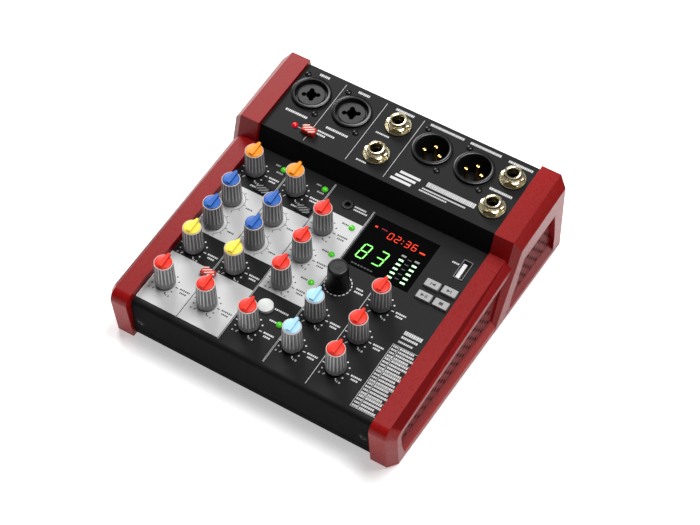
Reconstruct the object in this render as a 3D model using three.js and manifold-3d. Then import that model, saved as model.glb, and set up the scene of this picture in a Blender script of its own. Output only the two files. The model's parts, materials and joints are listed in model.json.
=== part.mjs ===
// Small four-channel mixing console: a bent sheet-metal case between two moulded side cheeks,
// with pot knobs, push buttons and a display on the sloping front panel and sockets on the raised
// rear panel. Millimetres, +Z up, +X to the operator's right, the operator sits at -Y.
import * as THREE from 'three';
import { mergeVertices } from 'three/addons/utils/BufferGeometryUtils.js';
import Module from 'manifold-3d';

const wasm = await Module();
wasm.setup();

// ---- case ----
const CASE_HALF = 76.5; // half the sheet width
const SHEET = 1.5; // sheet thickness
const FOOT_Y = 27.4; // where the riser meets the front panel
const FOOT_Z = 48.0;
const FRONT_TILT = THREE.MathUtils.degToRad(6.4);
const REAR_TILT = THREE.MathUtils.degToRad(7.0);
const BACK_LEAN = THREE.MathUtils.degToRad(16.0); // back face off the vertical, wider at the bottom
const FRONT_LENGTH = 129.1; // front panel, riser to fascia
const REAR_LENGTH = 53.0; // rear panel, riser to back edge
const RISER_RUN = 2.8;
const RISER_RISE = 15.0;
const FASCIA_DROP = 24.3; // fascia down to the seam with the bottom pan
const PAN_LIP = 5.2; // height of the pan's lips
const PAN_Z = 4.0; // underside of the pan above the ground
const GAP = 0.3; // clearance between pieces that meet
const BEND = 3.0; // radius of the bend above the fascia

// ---- front panel columns (x) and rows (u, measured from the riser, minus is towards the user) ----
const PITCH = 27.3;
const COLUMN = [0, 1, 2, 3, 4].map((i) => -67.35 + i * PITCH);
const ROW_GAIN = -17.2;
const ROW_TREBLE = -41.3;
const ROW_BASS = -60.5;
const ROW_EFFECT = -80.8;
const ROW_LEVEL = -108.7;
const ROWS_STEREO = [-32.0, -54.15, -75.7];
const ROWS_MASTER = [-60.8, -85.0, -108.3];

// ---- sockets on the rear panel (v is measured from the riser's top edge) ----
const XLR_V = 33.9;
const XLR_R = 11.9;
const BUSHING_R = 5.2; // threaded neck of a jack socket
const BUSHING_TOP = 6.4;

const place = (tilt, y0, z0) => (geometry, x, along, turn = 0) => {
  const out = geometry.clone();
  out.rotateZ(turn);
  out.translate(x, along, 0);
  out.rotateX(tilt);
  out.translate(0, y0, z0);
  return out;
};
const onFront = place(FRONT_TILT, FOOT_Y, FOOT_Z);
const onRear = place(REAR_TILT, FOOT_Y + RISER_RUN, FOOT_Z + RISER_RISE);
const BACK_TOP = {
  y: FOOT_Y + RISER_RUN + REAR_LENGTH * Math.cos(REAR_TILT),
  z: FOOT_Z + RISER_RISE + REAR_LENGTH * Math.sin(REAR_TILT),
};
// On the back face, 'along' is measured down from its top edge and height outwards.
const onBack = place(BACK_LEAN - Math.PI / 2, BACK_TOP.y, BACK_TOP.z);

// ---- geometry helpers ----
function toSolid(geometry) {
  const g = geometry.clone();
  g.deleteAttribute('normal');
  g.deleteAttribute('uv');
  const merged = mergeVertices(g, 1e-5);
  return new wasm.Manifold(
    new wasm.Mesh({
      numProp: 3,
      vertProperties: new Float32Array(merged.attributes.position.array),
      triVerts: new Uint32Array(merged.index.array),
    }),
  );
}

function toGeometry(solid) {
  const mesh = solid.getMesh();
  const g = new THREE.BufferGeometry();
  g.setAttribute('position', new THREE.BufferAttribute(new Float32Array(mesh.vertProperties), 3));
  g.setIndex(new THREE.BufferAttribute(new Uint32Array(mesh.triVerts), 1));
  g.computeVertexNormals();
  return g;
}

function combine(base, added = [], cut = []) {
  let solid = toSolid(base);
  for (const g of added) solid = solid.add(toSolid(g));
  for (const g of cut) solid = solid.subtract(toSolid(g));
  return toGeometry(solid);
}

function block(x0, x1, y0, y1, z0, z1) {
  const g = new THREE.BoxGeometry(x1 - x0, y1 - y0, z1 - z0);
  return g.translate((x0 + x1) / 2, (y0 + y1) / 2, (z0 + z1) / 2);
}

function plug(width, depth, low, high) {
  return block(-width / 2, width / 2, -depth / 2, depth / 2, low, high);
}

function rod(radius, low, high, sides = 16) {
  const g = new THREE.CylinderGeometry(radius, radius, high - low, sides);
  return g.rotateX(Math.PI / 2).translate(0, 0, (low + high) / 2);
}

// Turned body about the Z axis from [radius, height] pairs that start and end on the axis.
function turned(profile, sides = 16) {
  const points = profile.map(([r, h]) => new THREE.Vector2(r, h));
  return new THREE.LatheGeometry(points, sides).rotateX(Math.PI / 2);
}

// Prism along X whose outline is a list of [y, z] corners.
function prism(outline, x0, x1) {
  const shape = new THREE.Shape(outline.map(([y, z]) => new THREE.Vector2(y, z)));
  const g = new THREE.ExtrudeGeometry(shape, { depth: x1 - x0, bevelEnabled: false });
  const m = new THREE.Matrix4().makeBasis(
    new THREE.Vector3(0, 1, 0),
    new THREE.Vector3(0, 0, 1),
    new THREE.Vector3(1, 0, 0),
  );
  return g.applyMatrix4(m).translate(x0, 0, 0);
}

// Closed body through rings of [x, y, z] points that run the same way round.
function loft(rings) {
  const count = rings[0].length;
  const flat = rings[0].map(([, y, z]) => new THREE.Vector2(y, z));
  const caps = THREE.ShapeUtils.triangulateShape(flat, []);
  const index = [];
  for (const [a, b, c] of caps) index.push(a, c, b);
  for (let r = 0; r + 1 < rings.length; r += 1) {
    for (let i = 0; i < count; i += 1) {
      const j = (i + 1) % count;
      const a = r * count;
      const b = a + count;
      index.push(a + i, a + j, b + j, a + i, b + j, b + i);
    }
  }
  const last = (rings.length - 1) * count;
  for (const [a, b, c] of caps) index.push(last + a, last + b, last + c);
  const g = new THREE.BufferGeometry();
  g.setAttribute('position', new THREE.Float32BufferAttribute(rings.flat(2), 3));
  g.setIndex(index);
  return g;
}

// Arc points that round the corner b between a and c.
const ARC_STEPS = 5;
function rounded(a, b, c, radius) {
  const pa = new THREE.Vector2(...a);
  const pb = new THREE.Vector2(...b);
  const pc = new THREE.Vector2(...c);
  const da = pa.sub(pb).normalize();
  const dc = pc.sub(pb).normalize();
  const half = Math.acos(da.dot(dc)) / 2;
  const reach = radius / Math.tan(half);
  const middle = da.clone().add(dc).normalize().multiplyScalar(radius / Math.sin(half)).add(pb);
  const start = pb.clone().addScaledVector(da, reach).sub(middle);
  const end = pb.clone().addScaledVector(dc, reach).sub(middle);
  let sweep = end.angle() - start.angle();
  if (sweep > Math.PI) sweep -= 2 * Math.PI;
  if (sweep < -Math.PI) sweep += 2 * Math.PI;
  const out = [];
  for (let i = 0; i <= ARC_STEPS; i += 1) {
    const t = start.angle() + (sweep * i) / ARC_STEPS;
    out.push([middle.x + radius * Math.cos(t), middle.y + radius * Math.sin(t)]);
  }
  return out;
}

// ---- assembly ----
const console_ = new THREE.Group();
console_.name = 'mixing_console';

const material = (color, roughness, metalness = 0) =>
  new THREE.MeshStandardMaterial({ color, roughness, metalness });
const paint = material(0x2b2b2d, 0.55, 0.2);
const cheekRed = material(0xa51f22, 0.4);
const black = material(0x17171a, 0.5);
const grey = material(0x8a8a8a, 0.5);
const rubber = material(0x1a1a1a, 0.9);
const brass = material(0xc9b88a, 0.3, 0.9);
const nickel = material(0xb8b8ba, 0.25, 0.9);
const board = material(0x1f5b3a, 0.7);

function add(name, geometry, mat) {
  const mesh = new THREE.Mesh(geometry, mat);
  mesh.name = name;
  console_.add(mesh);
}

// Point on the front panel: u along it, h above it, as [y, z].
const frontPoint = (u, h) => [
  FOOT_Y + u * Math.cos(FRONT_TILT) - h * Math.sin(FRONT_TILT),
  FOOT_Z + u * Math.sin(FRONT_TILT) + h * Math.cos(FRONT_TILT),
];
const rearPoint = (v, h) => [
  FOOT_Y + RISER_RUN + v * Math.cos(REAR_TILT) - h * Math.sin(REAR_TILT),
  FOOT_Z + RISER_RISE + v * Math.sin(REAR_TILT) + h * Math.cos(REAR_TILT),
];
// Point of the back face at height z, inset from the outside, as [y, z].
const backPoint = (z, inset) => [
  BACK_TOP.y + (BACK_TOP.z - z) * Math.tan(BACK_LEAN) - inset / Math.cos(BACK_LEAN),
  z,
];
const BACK_CORNER = BACK_LEAN - REAR_TILT; // how far the back corner opens beyond a right angle
const BACK_MITRE = (1 - Math.sin(BACK_CORNER)) / Math.cos(BACK_CORNER);
const BACK_SEAM_Z = PAN_Z + PAN_LIP + GAP;

// One skin of the case, inset by the distance t from the outside.
function caseSkin(t) {
  const front = rounded(
    frontPoint(-FRONT_LENGTH + t, -FASCIA_DROP),
    frontPoint(-FRONT_LENGTH + t, -t),
    frontPoint(0, -t),
    BEND - t * 0.8,
  );
  return [
    frontPoint(-FRONT_LENGTH + t, -FASCIA_DROP),
    ...front,
    frontPoint(t * 0.75, -t),
    rearPoint(t * 0.85, -t),
    rearPoint(REAR_LENGTH - t * BACK_MITRE, -t),
    backPoint(BACK_SEAM_Z, t),
  ];
}

// ---- controls: where each one sits ----
const knobs = [];
['1', '2'].forEach((channel, i) => {
  knobs.push({ name: `gain_knob_${channel}`, x: COLUMN[i], u: ROW_GAIN, colour: 'orange' });
  knobs.push({ name: `treble_knob_${channel}`, x: COLUMN[i], u: ROW_TREBLE, colour: 'blue' });
  knobs.push({ name: `bass_knob_${channel}`, x: COLUMN[i], u: ROW_BASS, colour: 'blue' });
  knobs.push({ name: `effect_send_knob_${channel}`, x: COLUMN[i], u: ROW_EFFECT, colour: 'yellow' });
  knobs.push({ name: `level_knob_${channel}`, x: COLUMN[i], u: ROW_LEVEL, colour: 'red' });
});
['stereo_level_knob', 'computer_level_knob', 'media_level_knob'].forEach((name, i) => {
  knobs.push({ name, x: COLUMN[2], u: ROWS_STEREO[i], colour: 'red' });
});
knobs.push({ name: 'wireless_level_knob', x: COLUMN[2], u: ROW_LEVEL - 0.4, colour: 'red' });
['effect_time_knob', 'effect_repeat_knob'].forEach((name, i) => {
  knobs.push({ name, x: COLUMN[3], u: ROWS_MASTER[i + 1], colour: 'pale_blue' });
});
['effect_return_knob', 'phones_level_knob', 'main_level_knob'].forEach((name, i) => {
  knobs.push({ name, x: COLUMN[4], u: ROWS_MASTER[i], colour: 'red' });
});
const capColour = {
  orange: material(0xf59a14, 0.35),
  blue: material(0x2d69b9, 0.35),
  yellow: material(0xf2d93c, 0.35),
  red: material(0xe8412a, 0.35),
  pale_blue: material(0xa5d7f0, 0.35),
};

// Push buttons: x, place along the panel, cap size, how far the cap stands out and its travel.
const buttons = [
  { name: 'low_cut_button_1', x: -56.45, u: -26.8, w: 8.2, d: 4.8, out: 1.2, mat: black },
  { name: 'low_cut_button_2', x: -29.15, u: -26.8, w: 8.2, d: 4.8, out: 1.2, mat: black },
  { name: 'mono_stereo_button', x: -50.05, u: -92.3, w: 8.2, d: 4.8, out: 3.6, mat: cheekRed },
  { name: 'previous_button', x: 59.45, u: -34.7, w: 9.0, d: 5.4, out: 1.8, mat: grey },
  { name: 'next_button', x: 69.95, u: -34.3, w: 9.0, d: 5.4, out: 1.8, mat: grey },
  { name: 'play_button', x: 59.35, u: -43.9, w: 9.0, d: 5.4, out: 1.8, mat: grey },
  { name: 'stop_button', x: 69.85, u: -43.9, w: 9.0, d: 5.4, out: 1.8, mat: grey },
];
const PHANTOM = { x: -49.65, v: 8.6, w: 8.2, d: 4.8, out: 3.6 };
const PAIR = { x: -11.6, u: -94.0, r: 4.6, out: 1.6 };
const POWER = { x: -30, w: 8, out: 3.0, below: 38 };
const DC = { x: -48, w: 8.8, below: 38 };

const lamps = [
  { name: 'signal_lamp_1', x: -53.65, u: -8.0 },
  { name: 'signal_lamp_2', x: -26.15, u: -8.0 },
  { name: 'stereo_lamp', x: 1.05, u: -23.6 },
  { name: 'computer_lamp', x: 0.95, u: -45.3 },
  { name: 'media_lamp', x: 1.25, u: -67.5 },
  { name: 'wireless_lamp', x: 1.25, u: -100.4 },
];
const PHANTOM_LAMP = { x: -59.35, v: 9.0 };
const LAMP_R = 1.6;

const DISPLAY = { x0: 8.05, x1: 49.45, u0: -45.7, u1: -8.7 };
const USB = { x: 68.75, u: -16.8, w: 6.0, d: 14.0, depth: 13 };
const MINI = { x: -9.55, u: -10.6, r: 3.4 };

const xlrs = [
  { name: 'mic_line_socket_1', x: -63.5, male: false },
  { name: 'mic_line_socket_2', x: -36.15, male: false },
  { name: 'main_output_left', x: 17.2, male: true },
  { name: 'main_output_right', x: 44.4, male: true },
];
const jacks = [
  { name: 'line_input_left', x: -8.1, v: 38.8 },
  { name: 'line_input_right', x: -8.4, v: 14.6 },
  { name: 'foot_switch_jack', x: 66.5, v: 38.5 },
  { name: 'phones_jack', x: 66.3, v: 14.9 },
];

// ---- sheet-metal case ----
function topCase() {
  const outer = caseSkin(0);
  const inner = caseSkin(SHEET);
  const sheet = prism([...outer, ...inner.reverse()], -CASE_HALF, CASE_HALF);
  const cut = [];
  const front = (g, x, u) => cut.push(onFront(g, x, u));
  const rear = (g, x, v) => cut.push(onRear(g, x, v));
  for (const k of knobs) front(rod(3.2, -3, 1, 8), k.x, k.u);
  front(rod(3.6, -3, 1, 8), COLUMN[3], ROWS_MASTER[0]);
  for (const b of buttons) front(plug(b.w + 0.8, b.d + 0.8, -3, 1), b.x, b.u);
  front(rod(PAIR.r + 0.4, -3, 1, 20), PAIR.x, PAIR.u);
  for (const l of lamps) front(rod(LAMP_R + GAP, -3, 1, 12), l.x, l.u);
  const dx = (DISPLAY.x0 + DISPLAY.x1) / 2;
  const du = (DISPLAY.u0 + DISPLAY.u1) / 2;
  const dw = DISPLAY.x1 - DISPLAY.x0 + 2 * GAP;
  front(plug(dw, DISPLAY.u1 - DISPLAY.u0 + 2 * GAP, -3, 1), dx, du);
  front(plug(USB.w + 2 * GAP, USB.d + 2 * GAP, -3, 1), USB.x, USB.u);
  front(rod(MINI.r + GAP, -3, 1, 16), MINI.x, MINI.u);
  for (const s of xlrs) rear(rod(XLR_R - 0.5, -3, 1, 32), s.x, XLR_V);
  for (const j of jacks) rear(rod(BUSHING_R + GAP, -3, 1, 16), j.x, j.v);
  rear(plug(PHANTOM.w + 0.8, PHANTOM.d + 0.8, -3, 1), PHANTOM.x, PHANTOM.v);
  rear(rod(LAMP_R + GAP, -3, 1, 12), PHANTOM_LAMP.x, PHANTOM_LAMP.v);
  for (const b of [POWER, DC]) cut.push(onBack(plug(b.w + 0.8, b.w + 0.8, -3, 1), b.x, b.below));
  return combine(sheet, [], cut);
}
add('top_case', topCase(), paint);

// ---- bottom pan ----
function bottomPan() {
  const lipTop = -FASCIA_DROP - GAP;
  const outline = [
    frontPoint(-FRONT_LENGTH, lipTop),
    frontPoint(-FRONT_LENGTH, lipTop - PAN_LIP + 1.0),
    [frontPoint(-FRONT_LENGTH, lipTop - PAN_LIP)[0] + 0.9, PAN_Z],
    backPoint(PAN_Z, 0.9),
    backPoint(PAN_Z + 1.0, 0),
    backPoint(PAN_Z + PAN_LIP, 0),
    backPoint(PAN_Z + PAN_LIP, SHEET),
    backPoint(PAN_Z + SHEET, SHEET),
    [frontPoint(-FRONT_LENGTH + SHEET, lipTop - PAN_LIP)[0] + 0.4, PAN_Z + SHEET],
    frontPoint(-FRONT_LENGTH + SHEET, lipTop),
  ];
  return combine(prism(outline, -CASE_HALF, CASE_HALF));
}
add('bottom_pan', bottomPan(), paint);

// ---- side cheeks ----
// Outlines are [y, z] corners with y measured from the riser's foot. Each part keeps its full outline
// out to x = flat, then chamfers in to a smaller outline on its outer face.
const CHEEK_IN = CASE_HALF + GAP;
const CHEEK_BASE = 1.0; // underside above the ground
const TOP_SLOPE = 0.115;
const LOW = { frontY: -126.0, backY: 6.5, flat: 87.1, outer: 91.2, inset: 5.7, drop: 5.05, lean: 0.213 };
const HIGH = { flat: 89.0, outer: 91.3, flare: 0.0415 };
const lowTop = (y) => 52.5 + y * TOP_SLOPE;

const atRiser = (outline) => outline.map(([y, z]) => [y + FOOT_Y, z]);

function frontPart() {
  const outline = (inset, drop, radius) => {
    const bottom = [LOW.frontY + inset, CHEEK_BASE];
    const topZ = lowTop(LOW.frontY - 7) - drop;
    const corner = [bottom[0] - LOW.lean * (topZ - CHEEK_BASE), topZ];
    const back = [LOW.backY, lowTop(LOW.backY) - drop];
    return atRiser([bottom, [LOW.backY, CHEEK_BASE], back, ...rounded(back, corner, bottom, radius)]);
  };
  const full = outline(0, 0, 5.9);
  const small = outline(LOW.inset, LOW.drop, 4.4);
  return loft([
    full.map(([y, z]) => [CHEEK_IN, y, z]),
    full.map(([y, z]) => [LOW.flat, y, z]),
    small.map(([y, z]) => [LOW.outer, y, z]),
  ]);
}

function rearPart() {
  const full = atRiser([
    [-13.2, CHEEK_BASE],
    [77.7, CHEEK_BASE],
    [56.5, 71.6],
    [0.5, 65.1],
  ]);
  const small = atRiser([
    [-11.1, CHEEK_BASE],
    [72.1, CHEEK_BASE],
    [54.0, 65.3],
    [3.1, 59.0],
  ]);
  return loft([
    full.map(([y, z]) => [CHEEK_IN, y, z]),
    full.map(([y, z]) => [HIGH.flat, y, z]),
    small.map(([y, z]) => [HIGH.outer + (z - CHEEK_BASE) * HIGH.flare, y, z]),
  ]);
}

// Recess in the outer face, whose floor slopes out and down to a thin lip. The outline's two low
// corners stand for the floor.
function recess(outline, wallX, floorZ, slope) {
  const reach = 10;
  const ring = (x, floor) => outline.map(([y, z], i) => [x, y, i < 2 ? floor : z]);
  return loft([ring(wallX, floorZ), ring(wallX + reach, floorZ - reach * slope)]);
}

function cheek(side) {
  const rim = (y) => lowTop(y) - 9.2;
  const lowRecess = recess(
    atRiser([
      [-114.5, 0],
      [3.5, 0],
      [3.5, rim(3.5)],
      [-119.0, rim(-119.0)],
      [-121.7, rim(-121.7) - 2.6],
    ]),
    88.0, 10.5, 1.6,
  );
  const highRecess = recess(
    atRiser([
      [1.5, 0],
      [61.5, 0],
      [47.8, 47.4],
      [10.5, 45.8],
    ]),
    89.0, 9.8, 2.1,
  );
  const hollowLow = combine(frontPart(), [], [lowRecess]);
  const hollowHigh = combine(rearPart(), [], [highRecess]);
  const whole = combine(hollowHigh, [hollowLow]);
  if (side > 0) return whole;
  const mirrored = whole.clone().scale(-1, 1, 1);
  const flipped = Array.from(mirrored.index.array);
  for (let i = 0; i < flipped.length; i += 3) {
    [flipped[i], flipped[i + 1]] = [flipped[i + 1], flipped[i]];
  }
  mirrored.setIndex(flipped);
  return mirrored;
}
add('left_cheek', cheek(-1), cheekRed);
add('right_cheek', cheek(1), cheekRed);

// ---- knobs ----
const KNOB_H = 19.0;
const STEM_LOW = -5.2;

function knobBody() {
  const body = turned(
    [
      [0, STEM_LOW],
      [2.3, STEM_LOW],
      [2.3, 0.9],
      [5.9, 0.9],
      [5.9, 2.0],
      [5.35, KNOB_H - 1.2],
      [4.7, KNOB_H],
      [0, KNOB_H],
    ],
    16,
  );
  const pointer = block(-0.9, 0.9, -1.5, 6.6, KNOB_H - 1.6, KNOB_H + 1.1);
  return combine(body, [pointer]);
}
for (const k of knobs) add(k.name, onFront(knobBody(), k.x, k.u), capColour[k.colour]);

function encoderBody() {
  return combine(
    turned(
      [
        [0, STEM_LOW],
        [2.8, STEM_LOW],
        [2.8, 0.7],
        [6.6, 0.7],
        [6.6, 2.2],
        [5.9, 16.0],
        [5.2, 17.0],
        [0, 17.0],
      ],
      20,
    ),
  );
}
add('effect_select_knob', onFront(encoderBody(), COLUMN[3], ROWS_MASTER[0]), black);

// ---- push buttons ----
const BUTTON_FOOT = -6.0; // lower end of a button's stem
const BUTTON_BASE = -3.4; // underside of a button's cap
const STEM_R = 1.6;
const stem = (foot) => rod(STEM_R, foot, BUTTON_BASE + 0.4, 8);
function buttonBody(b) {
  return combine(plug(b.w, b.d, BUTTON_BASE, b.out), [stem(BUTTON_FOOT)]);
}
for (const b of buttons) add(b.name, onFront(buttonBody(b), b.x, b.u), b.mat);
add('phantom_power_button', onRear(buttonBody(PHANTOM), PHANTOM.x, PHANTOM.v), cheekRed);
const pairBody = combine(rod(PAIR.r, BUTTON_BASE, PAIR.out, 20), [stem(BUTTON_FOOT)]);
add('pairing_button', onFront(pairBody, PAIR.x, PAIR.u), grey);
const powerBody = combine(plug(POWER.w, POWER.w, BUTTON_BASE, POWER.out), [stem(-9)]);
add('power_button', onBack(powerBody, POWER.x, POWER.below), black);

// ---- lamps ----
const green = material(0x46be1e, 0.3);
const red = material(0xdc0a1e, 0.3);
function lampBody(low) {
  return turned(
    [
      [0, low],
      [LAMP_R, low],
      [LAMP_R, 0.4],
      [1.1, 1.2],
      [0, 1.4],
    ],
    10,
  );
}
const BOARD_TOP = -12.0; // control board, below the front panel
const BOARD_T = 1.6;
for (const l of lamps) add(l.name, onFront(combine(lampBody(BOARD_TOP + GAP)), l.x, l.u), green);
const phantomLamp = combine(lampBody(-24.5));
add('phantom_power_lamp', onRear(phantomLamp, PHANTOM_LAMP.x, PHANTOM_LAMP.v), red);

// ---- display, media port and small socket ----
add(
  'display_window',
  onFront(combine(block(DISPLAY.x0, DISPLAY.x1, DISPLAY.u0, DISPLAY.u1, -1.8, 0.25)), 0, 0),
  black,
);
function usbPort() {
  const shell = plug(USB.w, USB.d, -USB.depth, 0.4);
  const mouth = plug(USB.w - 1.2, USB.d - 1.4, -USB.depth + 2, 1);
  const tongue = block(-2.0, -0.2, -5.4, 5.4, -USB.depth + 1, -1.2);
  return combine(combine(shell, [], [mouth]), [tongue]);
}
add('media_port', onFront(usbPort(), USB.x, USB.u), nickel);
function miniSocket() {
  const base = block(-3.2, 3.2, -5.5, 5.5, -11.4, -1.9);
  return combine(base, [rod(MINI.r, -2.4, 0.5, 16)], [rod(1.85, -10.5, 1, 12)]);
}
add('small_stereo_socket', onFront(miniSocket(), MINI.x, MINI.u), black);

// ---- rear panel sockets ----
const BARREL_R = XLR_R - 0.9;
const FLANGE_TOP = 1.7;
const JACK_BORE_R = 3.5;
function comboSocket() {
  const barrel = rod(BARREL_R, -24, -0.5, 32);
  const flange = rod(XLR_R, GAP, FLANGE_TOP, 32);
  const dish = rod(9.7, -2.2, FLANGE_TOP + 1, 32);
  const bore = rod(JACK_BORE_R, -22, 0, 16);
  const lobes = [0, 120, 240].map((deg) => {
    const t = THREE.MathUtils.degToRad(deg - 90);
    return rod(1.9, -16, 0, 10).translate(4.4 * Math.cos(t), 4.4 * Math.sin(t), 0);
  });
  const neck = rod(BARREL_R, -1, GAP + 0.5, 32);
  return combine(barrel, [neck, flange], [dish, bore, ...lobes]);
}
function maleSocket() {
  const barrel = rod(BARREL_R, -20, GAP + 0.5, 32);
  const flange = rod(XLR_R, GAP, FLANGE_TOP, 32);
  const cup = rod(9.5, -15, FLANGE_TOP + 1, 32);
  const shell = combine(barrel, [flange], [cup]);
  const pins = [0, 90, 180].map((deg) => {
    const t = THREE.MathUtils.degToRad(deg);
    return rod(1.2, -16, -2.2, 10).translate(4.95 * Math.cos(t), 4.95 * Math.sin(t), 0);
  });
  return combine(shell, pins);
}
for (const s of xlrs) {
  add(s.name, onRear(s.male ? maleSocket() : comboSocket(), s.x, XLR_V), black);
}

function jackSocket() {
  const bushing = rod(BUSHING_R, -3, BUSHING_TOP, 16);
  const washer = rod(7.9, GAP, 1.2, 24);
  const nut = rod(7.2, 1.0, 4.0, 6);
  const base = block(-7.4, 7.4, -7.6, 7.6, -23, -SHEET - GAP);
  return combine(base, [bushing, washer, nut], [rod(JACK_BORE_R, -21, BUSHING_TOP + 1, 16)]);
}
for (const j of jacks) add(j.name, onRear(jackSocket(), j.x, j.v), brass);

function dcInlet() {
  const shell = combine(plug(DC.w, DC.w, -12, 0.8), [], [rod(3.2, -10, 2, 16)]);
  return combine(shell, [rod(1.0, -11, -1, 8)]);
}
add('power_inlet', onBack(dcInlet(), DC.x, DC.below), black);

// ---- circuit boards ----
const SWITCH_TOP = BUTTON_FOOT - 3.1; // below a stem with room for its travel
const SWITCH_W = 5.5;
function controlBoard() {
  const plate = block(-72, 72, -121, -4, BOARD_TOP - BOARD_T, BOARD_TOP);
  const parts = [];
  for (const k of knobs) parts.push([plug(9.5, 10.5, BOARD_TOP - 1, STEM_LOW - GAP), k.x, k.u]);
  parts.push([plug(11, 11, BOARD_TOP - 1, STEM_LOW - GAP), COLUMN[3], ROWS_MASTER[0]]);
  for (const b of [...buttons, PAIR]) {
    parts.push([plug(SWITCH_W, SWITCH_W, BOARD_TOP - 1, SWITCH_TOP), b.x, b.u]);
  }
  const dx = (DISPLAY.x0 + DISPLAY.x1) / 2;
  const du = (DISPLAY.u0 + DISPLAY.u1) / 2;
  parts.push([plug(38, 34, BOARD_TOP - 1, -2.2), dx, du]);
  const posts = parts.map(([g, x, u]) => g.translate(x, u, 0));
  const notch = plug(USB.w + 1.2, USB.d + 1.2, BOARD_TOP - 3, 0).translate(USB.x, USB.u, 0);
  return combine(plate, posts, [notch]);
}
add('control_board', onFront(controlBoard(), 0, 0), board);

function connectorBoard() {
  const top = -24.8; // below the rear panel
  const plate = block(-73, 75.5, 3, 47, top - BOARD_T, top);
  const phantomSwitch = plug(SWITCH_W, SWITCH_W, top - 1, SWITCH_TOP).translate(PHANTOM.x, PHANTOM.v, 0);
  return combine(plate, [phantomSwitch]);
}
add('connector_board', onRear(connectorBoard(), 0, 0), board);

// ---- feet ----
const feet = { left: -66, right: 66 };
for (const [side, x] of Object.entries(feet)) {
  for (const [end, y] of Object.entries({ front: -112.5, rear: 58 })) {
    const foot = turned(
      [
        [0, 0],
        [5.4, 0],
        [6.2, PAN_Z - GAP],
        [0, PAN_Z - GAP],
      ],
      20,
    ).translate(x, FOOT_Y + y, 0);
    add(`${end}_${side}_foot`, combine(foot), rubber);
  }
}

export default console_;
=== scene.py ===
"""Looks for a small mixing console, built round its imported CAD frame. Metres; sizes inside are in mm."""

import json
import math

import bmesh
import bpy
from mathutils import Matrix, Vector


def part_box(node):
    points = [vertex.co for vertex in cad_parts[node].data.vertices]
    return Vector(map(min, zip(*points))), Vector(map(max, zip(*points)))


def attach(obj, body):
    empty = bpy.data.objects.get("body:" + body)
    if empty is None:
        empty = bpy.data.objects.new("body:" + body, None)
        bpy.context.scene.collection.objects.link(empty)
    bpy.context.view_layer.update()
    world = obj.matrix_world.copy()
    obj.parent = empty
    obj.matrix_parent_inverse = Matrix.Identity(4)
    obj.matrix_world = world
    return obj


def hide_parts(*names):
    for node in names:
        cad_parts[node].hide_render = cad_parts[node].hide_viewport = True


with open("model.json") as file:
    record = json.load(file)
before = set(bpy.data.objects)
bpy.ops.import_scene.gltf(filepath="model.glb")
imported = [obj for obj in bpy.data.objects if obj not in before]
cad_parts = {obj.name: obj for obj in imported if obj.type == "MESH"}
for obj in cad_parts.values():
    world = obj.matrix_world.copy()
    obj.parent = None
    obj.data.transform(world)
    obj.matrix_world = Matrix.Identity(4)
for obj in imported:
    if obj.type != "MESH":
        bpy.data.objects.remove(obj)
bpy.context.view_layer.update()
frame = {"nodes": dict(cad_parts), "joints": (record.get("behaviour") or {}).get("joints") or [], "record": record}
MM = 0.001
JOINT = {j["child"]: j for j in frame["joints"]}

# ---- panels, from the axes of the knobs that stand on them ----
KNOB_AXIS = Vector(JOINT["gain_knob_1"]["axis"])
REAR_AXIS = Vector(JOINT["phantom_power_button"]["axis"])
FRONT_TILT = math.atan2(-KNOB_AXIS.y, KNOB_AXIS.z)
REAR_TILT = math.atan2(-REAR_AXIS.y, REAR_AXIS.z)
ROW_GAIN = -17.2  # the gain knobs' distance in front of the riser's foot
GAIN = Vector(JOINT["gain_knob_1"]["pos_m"])
UP_PANEL = Vector((0.0, math.cos(FRONT_TILT), math.sin(FRONT_TILT)))
RISER_FOOT = Vector((0.0, GAIN.y, GAIN.z)) - UP_PANEL * ROW_GAIN * MM
RISER_TOP = RISER_FOOT + Vector((0.0, 2.8, 15.0)) * MM  # it leans back 2.8 over a height of 15
SCALE = Matrix.Scale(MM, 4)
FRONT = Matrix.Translation(RISER_FOOT) @ Matrix.Rotation(FRONT_TILT, 4, "X") @ SCALE
REAR = Matrix.Translation(RISER_TOP) @ Matrix.Rotation(REAR_TILT, 4, "X") @ SCALE
FRONT_LENGTH = 129.1
RISER = Matrix.Translation((0.0, RISER_FOOT.y, 0.0)) @ SCALE

# ---- the material slot of each CAD piece ----
frame_slots = {s["node"]: s["material_slot"] for s in frame["record"]["subparts"]}


def centre(node, panel):
    """The middle of a node's footprint in a panel's own millimetres: across, along, height."""
    low, high = (Vector(p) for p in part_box(node))
    return panel.inverted() @ ((low + high) / 2)


def joint_place(node, panel):
    """Where a hinged node's axis meets its panel, in the panel's millimetres."""
    return panel.inverted() @ Vector(JOINT[node]["pos_m"])


# ---- Materials ----
NOISE_LOW, NOISE_HIGH = 0.3, 0.7  # nearly all values of a noise lie between these
EDGE_LOW, EDGE_HIGH = 0.53, 0.60  # pointiness where an edge begins to take the painted highlight, and takes it fully
COAT_ROUGHNESS = 0.15


def node_tree(name):
    mat = bpy.data.materials.new(name)
    mat.use_nodes = True
    tree = mat.node_tree
    shader = tree.nodes["Principled BSDF"]
    return mat, tree, shader


def noise(tree, scale, detail, rough=0.55):
    coords = tree.nodes.new("ShaderNodeTexCoord")
    tex = tree.nodes.new("ShaderNodeTexNoise")
    tex.inputs["Scale"].default_value = scale
    tex.inputs["Detail"].default_value = detail
    tex.inputs["Roughness"].default_value = rough
    tree.links.new(coords.outputs["Object"], tex.inputs["Vector"])
    return tex


def ramp(tree, source, stops):
    node = tree.nodes.new("ShaderNodeValToRGB")
    elements = node.color_ramp.elements
    while len(elements) < len(stops):
        elements.new(0.5)
    for element, (at, colour) in zip(elements, stops):
        element.position = at
        element.color = (*colour, 1.0)
    tree.links.new(source, node.inputs["Fac"])
    return node


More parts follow.
